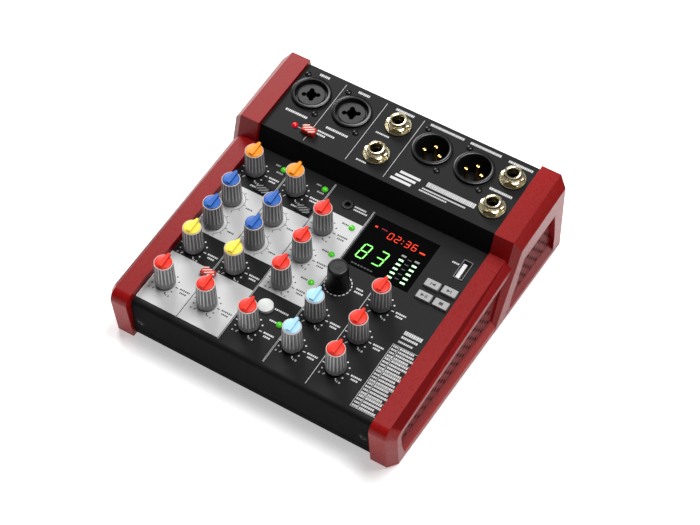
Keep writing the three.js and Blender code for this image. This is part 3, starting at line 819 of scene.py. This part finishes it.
def jack(node, v):
    """A quarter-inch jack: washer, chamfered hex nut and a threaded bushing."""
    x = centre(node, REAR).x
    shape = Shape()
    shape.prism(rounded_box(14.8, 15.2, 0.8), -23, -1.8, 2)
    washer = [(5.0, -1.8), (5.0, 0.3), (7.6, 0.3), (7.85, 0.5), (7.85, 0.95), (7.6, 1.15), (5.0, 1.15)]
    shape.turned(washer, 64)
    nut = [(5.0, 1.1), (6.5, 1.1), (7.1, 1.5), (7.15, 2.0), (7.15, 3.3), (6.8, 3.75), (5.9, 4.0), (5.0, 4.0)]
    shape.turned(nut, 96, 0, radius=hexagon)
    thread = [(5.0, 3.9)]
    for k in range(2):
        z = 4.1 + k * THREAD_PITCH
        thread += [(5.0, z), (5.2, z + 0.3)]
    # the bore's wall and floor are near-black painted shade
    thread += [
        (5.0, 5.4), (5.2, 5.7), (5.15, 6.1), (4.8, 6.35), (3.9, 6.4), (3.6, 6.25), (3.4, 5.9),
        (3.4, 1.5, 1), (3.4, -20, 1), (0, -20, 1),
    ]
    shape.turned(thread, 64)
    shape.bar(-0.6, 0.6, -3.4, -2.5, -10, 4.4, 0)
    obj = shape.object(f"{node}_face", REAR, [BRASS, HOLLOW_SHADE, BLACK], (x, v, 0), 0.0, 30)
    finish_piece(obj, "case", "brass_plate", node)


def cross_screw(name, panel, place, height=0.3):
    """A domed screw with a cross-shaped drive. The place is in the panel's millimetres."""
    shape = Shape()
    dome = [(0, height - 0.25), (SCREW_R, height - 0.25)]
    for k in range(6):
        t = math.radians(15 * k)
        dome.append((SCREW_R * math.cos(t), height + 0.75 * math.sin(t)))
    dome.append((0, height + 0.78))
    shape.turned(dome, 32)
    obj = shape.object(name, panel, [SCREW], place)
    cutter = Shape()
    arm = SCREW_R * 0.62
    for turn in (0, math.pi / 2):
        cutter.bar(-arm, arm, -0.24, 0.24, height + 0.2, height + 2, turn=turn + 0.5)
    drive = cutter.object("drive", panel, [HOLLOW_SHADE], place)
    union_self(drive)
    carve(obj, drive)
    smooth(obj.data, 35)
    finish_piece(obj, "case", "black_plastic")


def xlr_screws():
    for node, x in XLR_PLACES.items():
        for k, (dx, dv) in enumerate(XLR_SCREWS):
            cross_screw(f"{node}_screw_{k + 1}", REAR, (x + dx, XLR_V + dv, 0))


def media_port():
    """An upright port with a steel frame, a pale tongue and four contacts."""
    shape = Shape()
    node = "media_port"
    x = centre(node, FRONT).x
    frame_ring = rounded_box(6.0, 14.0, 0.5)
    inner = rounded_box(4.8, 12.6, 0.4)
    n = len(frame_ring)
    verts = [(a, b, 0.0) for a, b in frame_ring] + [(a, b, 0.38) for a, b in frame_ring]
    verts += [(a, b, 0.38) for a, b in inner] + [(a, b, PORT_FLOOR) for a, b in inner]
    faces = []
    for i in range(n):
        j = (i + 1) % n
        faces.append([i, j, n + j, n + i])
        faces.append([n + i, n + j, 2 * n + j, 2 * n + i])
        faces.append([2 * n + i, 2 * n + j, 3 * n + j, 3 * n + i])
    shape.add(verts, faces, 0)
    # the port's floor is near-black painted shade
    shape.add([(a, b, PORT_FLOOR) for a, b in inner], [list(range(n))], 1)
    shape.bar(-1.9, 0.4, -6.1, 4.6, PORT_FLOOR, -0.5, 2)
    for k in range(4):
        y = -4.4 + k * 2.5
        shape.bar(0.4, 0.52, y - 0.5, y + 0.5, -9.5, -1.2, 3)
    skins = [DULL_STEEL, HOLLOW_SHADE, PALE_TONGUE, GOLD]
    obj = shape.object("media_port_face", FRONT, skins, (x, MEDIA_PORT_U, 0), 0.0, 30)
    finish_piece(obj, "case", "plated_steel", node)


def small_socket():
    shape = Shape()
    # the bottom of the bore is near-black painted shade
    profile = [
        (0, -2.4), (3.4, -2.4), (3.4, 0.2), (3.2, 0.5), (2.7, 0.5), (2.5, 0.3), (2.4, 0.3, 1),
        (1.95, 0.35, 1), (1.85, 0.0, 1), (1.85, -6.0, 2), (0, -6.0, 2),
    ]
    shape.turned(profile, 48)
    node = "small_stereo_socket"
    place = (centre(node, FRONT).x, SMALL_SOCKET_U, 0)
    obj = shape.object("small_socket_face", FRONT, [BLACK, INSERT, HOLLOW_SHADE], place)
    finish_piece(obj, "case", "black_plastic", node)


def sockets():
    for node in ("mic_line_socket_1", "mic_line_socket_2"):
        combo_socket(node)
    for node in ("main_output_left", "main_output_right"):
        male_socket(node)
    for node, v in JACKS.items():
        jack(node, v)
    xlr_screws()
    media_port()
    small_socket()
    inlet = refined("power_inlet", "power_inlet_body", [BLACK], 0.3)
    finish_piece(inlet, "case", "black_plastic", "power_inlet")


# ---- Lamps ----
LENS = [(0, -0.6), (1.9, -0.6), (1.9, 0.15), (1.8, 0.5), (1.5, 0.95), (1.0, 1.25), (0.5, 1.37), (0, 1.4)]
# Where each lamp lies along its panel
GREEN_LAMPS = {
    "signal_lamp_1": -8.0,
    "signal_lamp_2": -8.0,
    "stereo_lamp": -23.6,
    "computer_lamp": -45.3,
    "media_lamp": -67.5,
    "wireless_lamp": -100.4,
}
RED_LAMPS = {"phantom_power_lamp": 9.0}


def lamps():
    for places, panel, skin, slot in (
        (GREEN_LAMPS, FRONT, LAMP_GREEN, "lamp_green"),
        (RED_LAMPS, REAR, LAMP_RED, "lamp_red"),
    ):
        for node, along in places.items():
            place = (centre(node, panel).x, along, 0)
            obj = Shape().turned(LENS, 40).object(f"{node}_lens", panel, [skin], place)
            finish_piece(obj, "case", slot, node)


# ---- Display ----
DISPLAY = (8.05, 49.45, -45.7, -8.7)  # left, right, front and back edge
GLASS_TOP = 0.12
LIT_TOP = 0.17
SEGMENTS = {"0": "abcdef", "2": "abged", "3": "abgcd", "6": "afgedc", "8": "abcdefg"}


def digit(shape, char, x, u, w, h, stroke, skin, lean):
    """A seven-segment numeral whose lower left corner is at x, u, and which leans right for each mm up."""
    mid = h / 2
    gap = stroke * 0.3
    ends = {
        "a": ((0, h), (w, h)),
        "b": ((w, h), (w, mid)),
        "c": ((w, mid), (w, 0)),
        "d": ((0, 0), (w, 0)),
        "e": ((0, mid), (0, 0)),
        "f": ((0, h), (0, mid)),
        "g": ((0, mid), (w, mid)),
    }
    for s in SEGMENTS[char]:
        (ax, ay), (bx, by) = ends[s]
        a = Vector((x + ax + lean * ay, u + ay))
        b = Vector((x + bx + lean * by, u + by))
        along = (b - a).normalized()
        side = Vector((-along.y, along.x)) * stroke / 2
        a2, b2 = a + along * gap, b - along * gap
        tip = along * stroke * 0.35
        points = [a2 - side + tip, b2 - side - tip, b2, b2 + side - tip, a2 + side + tip, a2]
        shape.prism([tuple(p) for p in points], GLASS_TOP - 0.02, LIT_TOP, skin)


# Skins of the lit figures
FIGURES = [DIGIT_GREEN, DIGIT_RED, BAR_LIGHT, BAR_DIM, DIM_RED, DIM_GREY]
GREEN, RED_FIGURE, LIGHT_BAR, DIM_BAR, DIM_DASH, UNLIT = range(6)
FIGURE_FOOT = 0.1


def dash(shape, x0, x1, u0, u1, skin):
    shape.bar(x0, x1, u0, u1, FIGURE_FOOT, LIT_TOP, skin)


def numerals(shape):
    """The large programme number, and the small red clock above it."""
    digit(shape, "8", 12.3, -39.2, 4.6, 10.2, 0.75, GREEN, 0.13)
    digit(shape, "3", 22.6, -38.9, 4.9, 10.2, 0.75, GREEN, 0.13)
    for char, x in (("0", 21.4), ("2", 25.9), ("3", 32.3), ("6", 36.8)):
        digit(shape, char, x, -19.6, 2.6, 4.3, 0.42, RED_FIGURE, 0.05)
    for u in (-18.7, -16.6):
        dash(shape, 30.3, 30.9, u - 0.25, u + 0.25, RED_FIGURE)
    dash(shape, 11.7, 13.3, -16.0, -15.0, RED_FIGURE)
    for k in range(3):
        dash(shape, 15.8 + k * 1.3, 16.8 + k * 1.3, -15.6, -14.8, DIM_DASH)
    dash(shape, 42.2, 45.6, -19.3, -18.3, RED_FIGURE)


def level_meters(shape):
    """Two columns of bars, the marks between them and the unlit row at the foot."""
    for column in (36.05, 44.4):
        for k in range(6):
            u = -25.5 - 3.3 * k
            dash(shape, column - 1.45, column + 1.45, u - 0.62, u + 0.62, DIM_BAR if k == 0 else LIGHT_BAR)
    for k in range(5):
        u = -26.5 - 3.6 * k
        dash(shape, 39.0, 41.4, u - 0.3, u + 0.3, UNLIT)
    for k in range(7):
        dash(shape, 12.8 + k * 2.0, 14.2 + k * 2.0, -44.3, -43.4, UNLIT)


def display():
    x0, x1, u0, u1 = DISPLAY
    shape = Shape()
    middle = ((x0 + x1) / 2, (u0 + u1) / 2, 0)
    shape.prism(rounded_box(x1 - x0, u1 - u0, 0.4, 3), -1.8, GLASS_TOP, 0, middle)
    glass = shape.object("display_glass", FRONT, [GLASS], angle=30)
    finish_piece(glass, "case", "display", "display_window")
    lit = Shape()
    numerals(lit)
    level_meters(lit)
    figures = lit.object("display_figures", FRONT, FIGURES, angle=30)
    finish_piece(figures, "case", "display")


# ---- Print on the panels ----
INK = 0.05  # thickness of the printed film
DIVIDERS = [-49.65, -22.65, 6.25, 32.95]
WALL = 76.4  # where the cheeks' inner faces cut the print off
PRINTS = [PRINT, LIGHT_INK, DARK_INK, DIM_INK]
SILVER, LIGHT, DARK, DIM = range(4)
MARK_RING = 7.4
ARC_RING = 7.6
ARC_STEPS = 40
SWEEP = 300  # degrees from the first mark to the last
MARKS = 11
LONG_MARKS = (0, 2, 5, 8, 10)
RULE_EDGE = 0.45  # from a divider's middle to the silver beside it
FILM_EDGE = -124.6
BLOCK_WIDTHS = (0.75, 0.95, 0.6, 0.85)
BLOCK_GAP = 0.32


def mark_angle(k):
    return math.radians(-SWEEP / 2 + SWEEP / (MARKS - 1) * k)


def marks(shape, x, u, skin):
    """Scale of a pot: a mark each 30 degrees from seven to five o'clock, with its end figures."""
    for k in range(MARKS):
        t = mark_angle(k)
        px, py = x + MARK_RING * math.sin(t), u + MARK_RING * math.cos(t)
        if k in LONG_MARKS:
            shape.bar(-0.3, 0.3, -0.85, 0.85, 0.0, INK, skin, (px, py, 0), -t)
        else:
            shape.prism(circle(0.5, 10), 0.0, INK, skin, (px, py, 0))
    tiny_zero(shape, x - 6.3, u - 6.8, skin)
    tiny_one(shape, x + 4.9, u - 7.2, skin)
    tiny_zero(shape, x + 6.4, u - 7.2, skin)


def tiny_zero(shape, x, u, skin):
    outer, inner = circle(0.62, 12), circle(0.3, 12)
    verts = [(a * 0.8, b, INK) for a, b in outer] + [(a * 0.7, b, INK) for a, b in inner]
    faces = [[i, (i + 1) % 12, 12 + (i + 1) % 12, 12 + i] for i in range(12)]
    shape.add(verts, faces, skin, (x, u, 0))


def tiny_one(shape, x, u, skin):
    shape.bar(-0.16, 0.16, -0.62, 0.62, 0.0, INK, skin, (x, u, 0))


def arc_marks(shape, x, u, skin):
    """Scale of a tone control: a thin broken arc with short ticks outside it."""
    inner, outer, ticks = ARC_RING - 0.16, ARC_RING + 0.16, ARC_RING + 0.9
    for k in range(ARC_STEPS):
        a0 = math.radians(-SWEEP / 2 + SWEEP * k / ARC_STEPS)
        a1 = math.radians(-SWEEP / 2 + SWEEP * (k + 0.82) / ARC_STEPS)
        quad = []
        for r, a in ((inner, a0), (inner, a1), (outer, a1), (outer, a0)):
            quad.append((x + r * math.sin(a), u + r * math.cos(a), INK))
        shape.add(quad, [[3, 2, 1, 0]], skin)
    for k in range(MARKS):
        t = mark_angle(k)
        px, py = x + ticks * math.sin(t), u + ticks * math.cos(t)
        shape.bar(-0.18, 0.18, -0.7, 0.7, 0.0, INK, skin, (px, py, 0), -t)


def legend(shape, x, u, width, skin, height=1.1, seed=0):
    """A short word shown as plain blocks, with no lettering."""
    at = x
    k = seed
    while at < x + width:
        w = BLOCK_WIDTHS[k % len(BLOCK_WIDTHS)]
        shape.bar(at, at + w, u - height / 2, u + height / 2, 0.0, INK, skin)
        at += w + BLOCK_GAP
        k += 1


def film(shape, x0, x1, u0, u1, skin):
    """A printed area, thinner than the marks that lie over it."""
    shape.bar(x0, x1, u0, u1, 0.0, INK * 0.6, skin)


def silver_areas(shape):
    """The silver fields under the two channels and under the level knobs beside them."""
    a, b, c, _ = DIVIDERS
    for u0, u1 in ((-69.2, -30.6), (FILM_EDGE, -88.7)):
        film(shape, -WALL, a - RULE_EDGE, u0, u1, SILVER)
        film(shape, a + RULE_EDGE, b - RULE_EDGE, u0, u1, SILVER)
    film(shape, b + RULE_EDGE, c - RULE_EDGE, -84.2, -19.3, SILVER)


def divider_lines(shape):
    """Double rules between the first groups of controls and single ones after them."""
    front = -125.0
    for x in DIVIDERS[:2]:
        for dx in (-0.32, 0.32):
            shape.bar(x + dx - 0.1, x + dx + 0.1, front, -1.5, 0.0, INK, LIGHT)
    for dx in (-0.32, 0.32):
        x = DIVIDERS[2] + dx
        shape.bar(x - 0.1, x + 0.1, front, -7.0, 0.0, INK, LIGHT)
    shape.bar(DIVIDERS[3] - 0.16, DIVIDERS[3] + 0.16, front, -56.0, 0.0, INK, LIGHT)


def on_silver(x, u):
    """Whether a knob stands on one of the silver fields."""
    if x < DIVIDERS[1]:
        return u < -88 or -69 < u < -30
    return x < DIVIDERS[2] and u > -84


def knob_scales(shape):
    for node in pot_knobs():
        x, u, _ = joint_place(node, FRONT)
        tone = DARK if on_silver(x, u) else LIGHT
        if frame_slots[node] == "cap_blue":
            arc_marks(shape, x, u, tone)
            legend(shape, x + 9.9, u - 1.2, 4.2, tone)
        else:
            marks(shape, x, u, tone)
            legend(shape, x + 9.4, u + 0.2, 6.0, tone, seed=1)
            legend(shape, x + 10.4, u - 1.9, 4.0, tone, seed=2)


def selector_scale(shape):
    """A broken ring round the effect selector, and its name as blocks."""
    x, u, _ = joint_place("effect_select_knob", FRONT)
    ring, count = 7.7, 20
    for k in range(count):
        t = 2 * math.pi * k / count
        at = (x + ring * math.sin(t), u + ring * math.cos(t), 0)
        shape.bar(-0.75, 0.75, -0.3, 0.3, 0.0, INK, LIGHT, at, -t)
    legend(shape, x + 10.0, u + 2.9, 4.2, LIGHT)
    legend(shape, x + 10.0, u + 0.6, 5.4, LIGHT, seed=3)


# Blocks that stand for the words beside lamps, buttons and sockets: x, u, width, ink, seed
WORDS = (
    (-59.6, -6.8, 3.2, DIM, 0), (-56.6, -11.2, 4.4, DIM, 1), (-32.3, -6.8, 3.2, DIM, 0),
    (-29.3, -11.2, 4.4, DIM, 1), (-64.4, -27.0, 3.4, LIGHT, 0), (-37.1, -27.0, 3.4, LIGHT, 0),
    (-5.2, -9.7, 7.6, LIGHT, 0), (-4.8, -11.7, 7.6, LIGHT, 2), (-5.4, -23.2, 3.4, DARK, 1),
    (-5.4, -44.9, 3.4, DARK, 1), (-5.4, -67.1, 3.4, DARK, 1), (-6.4, -92.6, 8.6, LIGHT, 0),
    (-5.0, -100.2, 3.6, LIGHT, 0), (60.8, -14.6, 3.6, LIGHT, 0),
)


def front_print():
    shape = Shape()
    silver_areas(shape)
    divider_lines(shape)
    knob_scales(shape)
    selector_scale(shape)
    for x, u, width, tone, seed in WORDS:
        legend(shape, x, u, width, tone, seed=seed)
    effect_table(shape)
    obj = shape.object("front_panel_print", FRONT, PRINTS, angle=30)
    finish_piece(obj, "case", "case_paint")


TABLE = (60.3, WALL, -79.0, -124.4)  # left, right, back and front edge
TABLE_ROWS = 20


def effect_table(shape):
    """The printed list beside the right cheek: a ruled box of numbered lines, without words."""
    x0, x1, top, bottom = TABLE
    for x in (x0, x0 + 4.2, x1):
        shape.bar(x - 0.12, x + 0.12, bottom, top, 0.0, INK, LIGHT)
    step = (top - bottom) / TABLE_ROWS
    for k in range(0, TABLE_ROWS + 1, 4):
        u = top - step * k
        shape.bar(x0, x1, u - 0.1, u + 0.1, 0.0, INK, LIGHT)
    for k in range(TABLE_ROWS):
        u = top - step * (k + 0.5)
        legend(shape, x0 + 0.7, u, 2.6, LIGHT, 1.3, k)
        legend(shape, x0 + 4.9, u, 7.8 + 2.4 * ((k * 7) % 3) / 2, LIGHT, 1.4, k + 1)
    for k, height in enumerate((2.6, 1.5, 1.2)):
        legend(shape, x0 + 1.6, top + 9.4 - 3.3 * k, 11.0 - 1.5 * k, LIGHT, height, k)


# Blocks that stand for the words of the rear panel: x, v, width, height, seed
REAR_WORDS = (
    (-66.9, 49.2, 6.6, 1.7, 0), (-40.6, 49.2, 7.4, 1.7, 0), (-15.4, 49.4, 11.4, 1.7, 0),
    (7.4, 49.6, 21.6, 1.7, 0), (33.6, 49.6, 20.0, 1.7, 0), (58.6, 49.0, 14.6, 1.7, 0),
    (58.4, 26.6, 13.6, 1.7, 0), (-70.4, 17.0, 14.4, 1.6, 1), (-43.2, 17.0, 14.4, 1.6, 1),
    (-46.0, 12.4, 11.0, 1.3, 0), (-45.4, 10.2, 5.4, 1.3, 1), (-17.0, 28.8, 7.6, 1.1, 2),
    (-16.6, 6.0, 6.0, 1.1, 1), (27.0, 10.8, 30.0, 3.4, 0), (26.0, 7.0, 27.0, 1.0, 0),
    (25.0, 5.1, 17.0, 1.0, 0),
)
REAR_DIVIDERS = ((-49.4, 12.6), (-21.8, 2.5), (3.0, 2.5))  # x and lower end
REAR_DIVIDER_TOP = 50.3


def rear_print():
    """Dividing lines and plain blocks in place of the words and marks on the rear panel."""
    shape = Shape()
    for x, v0 in REAR_DIVIDERS:
        shape.bar(x - 0.13, x + 0.13, v0, REAR_DIVIDER_TOP, 0.0, INK, 0)
    shape.bar(-57.2, -54.2, 8.7, 8.95, 0.0, INK, 0)
    shape.bar(-49.53, -49.27, 2.0, 5.4, 0.0, INK, 0)
    for x, v, width, height, seed in REAR_WORDS:
        legend(shape, x, v, width, 0, height, seed)
    for x, v in ((9.5, 11.0), (8.0, 8.0), (6.5, 5.0)):
        shape.bar(x, x + 13.0, v - 0.9, v + 0.9, 0.0, INK, 0)
    obj = shape.object("rear_panel_print", REAR, [LIGHT_INK], angle=30)
    finish_piece(obj, "case", "case_paint")


# ---- Fascia screws, boards and feet ----
FASCIA_SCREW_X = 71.5
FASCIA_SCREW_DROP = 16.5  # below the front panel


def fascia_screws():
    """Two cross-head screws, each on a thin near-black ring that stands for the shade in its countersink: painted
    shade.
    """
    lean = Matrix.Rotation(math.radians(90), 4, "X")
    for k, x in enumerate((-FASCIA_SCREW_X, FASCIA_SCREW_X)):
        spot = FRONT @ Vector((x, -FRONT_LENGTH + 0.1, -FASCIA_SCREW_DROP))
        panel = Matrix.Translation(spot) @ Matrix.Rotation(FRONT_TILT, 4, "X") @ lean @ SCALE
        cross_screw(f"fascia_screw_{k + 1}", panel, (0, 0, 0), 0.1)
        # a flat near-black ring on the fascia as painted shade of the countersink
        rim = Shape().turned([(3.1, 0.0), (2.9, 0.12), (2.0, 0.12), (0, 0.1)], 40)
        ring = rim.object(f"countersink_{k + 1}", panel, [HOLLOW_SHADE])
        finish_piece(ring, "case", "case_paint")


def hidden_parts():
    """Boards inside the case keep their CAD shape; the feet get rounded edges."""
    for node in ("control_board", "connector_board"):
        obj = frame["nodes"][node]
        obj.data.materials.clear()
        obj.data.materials.append(BOARD)
    for node in frame["nodes"]:
        if node.endswith("_foot"):
            foot = refined(node, f"{node}_pad", [RUBBER], 0.4)
            finish_piece(foot, "case", "rubber", node)


# ---- Camera, light and floor ----
EYE = Vector((343.93, -703.93, 821.79))  # the camera, from the riser's foot
AZIMUTH, ELEVATION, ROLL = 26.68, 48.24, 5.47  # degrees
SENSOR_WIDTH = 36.0
FOCAL_LENGTH = 102.8
FLOOR_REACH = 3000
LOOKED_AT = (0, 0, 0.03)
WORLD_LIGHT = 0.05
# Each light's place in metres, size and power
LIGHTS = {
    "key": ((-1.2, 1.1, 1.35), (0.8, 0.8), 30.0),
    "top": ((0.25, 0.2, 1.5), (0.8, 0.6), 21.0),
}


def camera():
    azimuth, elevation, roll = (math.radians(a) for a in (AZIMUTH, ELEVATION, ROLL))
    flat = math.cos(elevation)
    view = Vector((-math.sin(azimuth) * flat, math.cos(azimuth) * flat, -math.sin(elevation)))
    level = Vector((math.cos(azimuth), math.sin(azimuth), 0))
    upright = level.cross(view)
    right = level * math.cos(roll) + upright * math.sin(roll)
    up = upright * math.cos(roll) - level * math.sin(roll)
    data = bpy.data.cameras.new("camera")
    data.sensor_width = SENSOR_WIDTH
    data.lens = FOCAL_LENGTH
    data.clip_end = 20.0
    obj = bpy.data.objects.new("camera", data)
    bpy.context.scene.collection.objects.link(obj)
    basis = Matrix((right, up, -view)).transposed().to_4x4()
    obj.matrix_world = Matrix.Translation(RISER_FOOT + EYE * MM) @ basis
    bpy.context.scene.camera = obj


def area_light(name, place, size, energy):
    data = bpy.data.lights.new(name, "AREA")
    data.shape = "RECTANGLE"
    data.size, data.size_y = size
    data.energy = energy
    obj = bpy.data.objects.new(name, data)
    bpy.context.scene.collection.objects.link(obj)
    away = Vector(place) - Vector(LOOKED_AT)
    obj.matrix_world = Matrix.Translation(place) @ away.to_track_quat("Z", "Y").to_matrix().to_4x4()


def studio():
    floor = Shape().bar(-FLOOR_REACH, FLOOR_REACH, -FLOOR_REACH, FLOOR_REACH, -5, 0)
    ground = floor.object("floor", SCALE, [FLOOR])
    world = bpy.data.worlds.new("studio")
    bpy.context.scene.world = world
    world.use_nodes = True
    background = world.node_tree.nodes["Background"]
    background.inputs["Color"].default_value = (1.0, 1.0, 1.0, 1.0)
    background.inputs["Strength"].default_value = WORLD_LIGHT
    for name, (place, size, energy) in LIGHTS.items():
        area_light(name, place, size, energy)
    bpy.context.scene.view_settings.view_transform = "Standard"


camera()
case()
cheek("right_cheek", "right_cheek_shell", 1)
cheek("left_cheek", "left_cheek_shell", -1)
knobs()
encoder()
buttons()
sockets()
lamps()
display()
front_print()
rear_print()
fascia_screws()
hidden_parts()
studio()
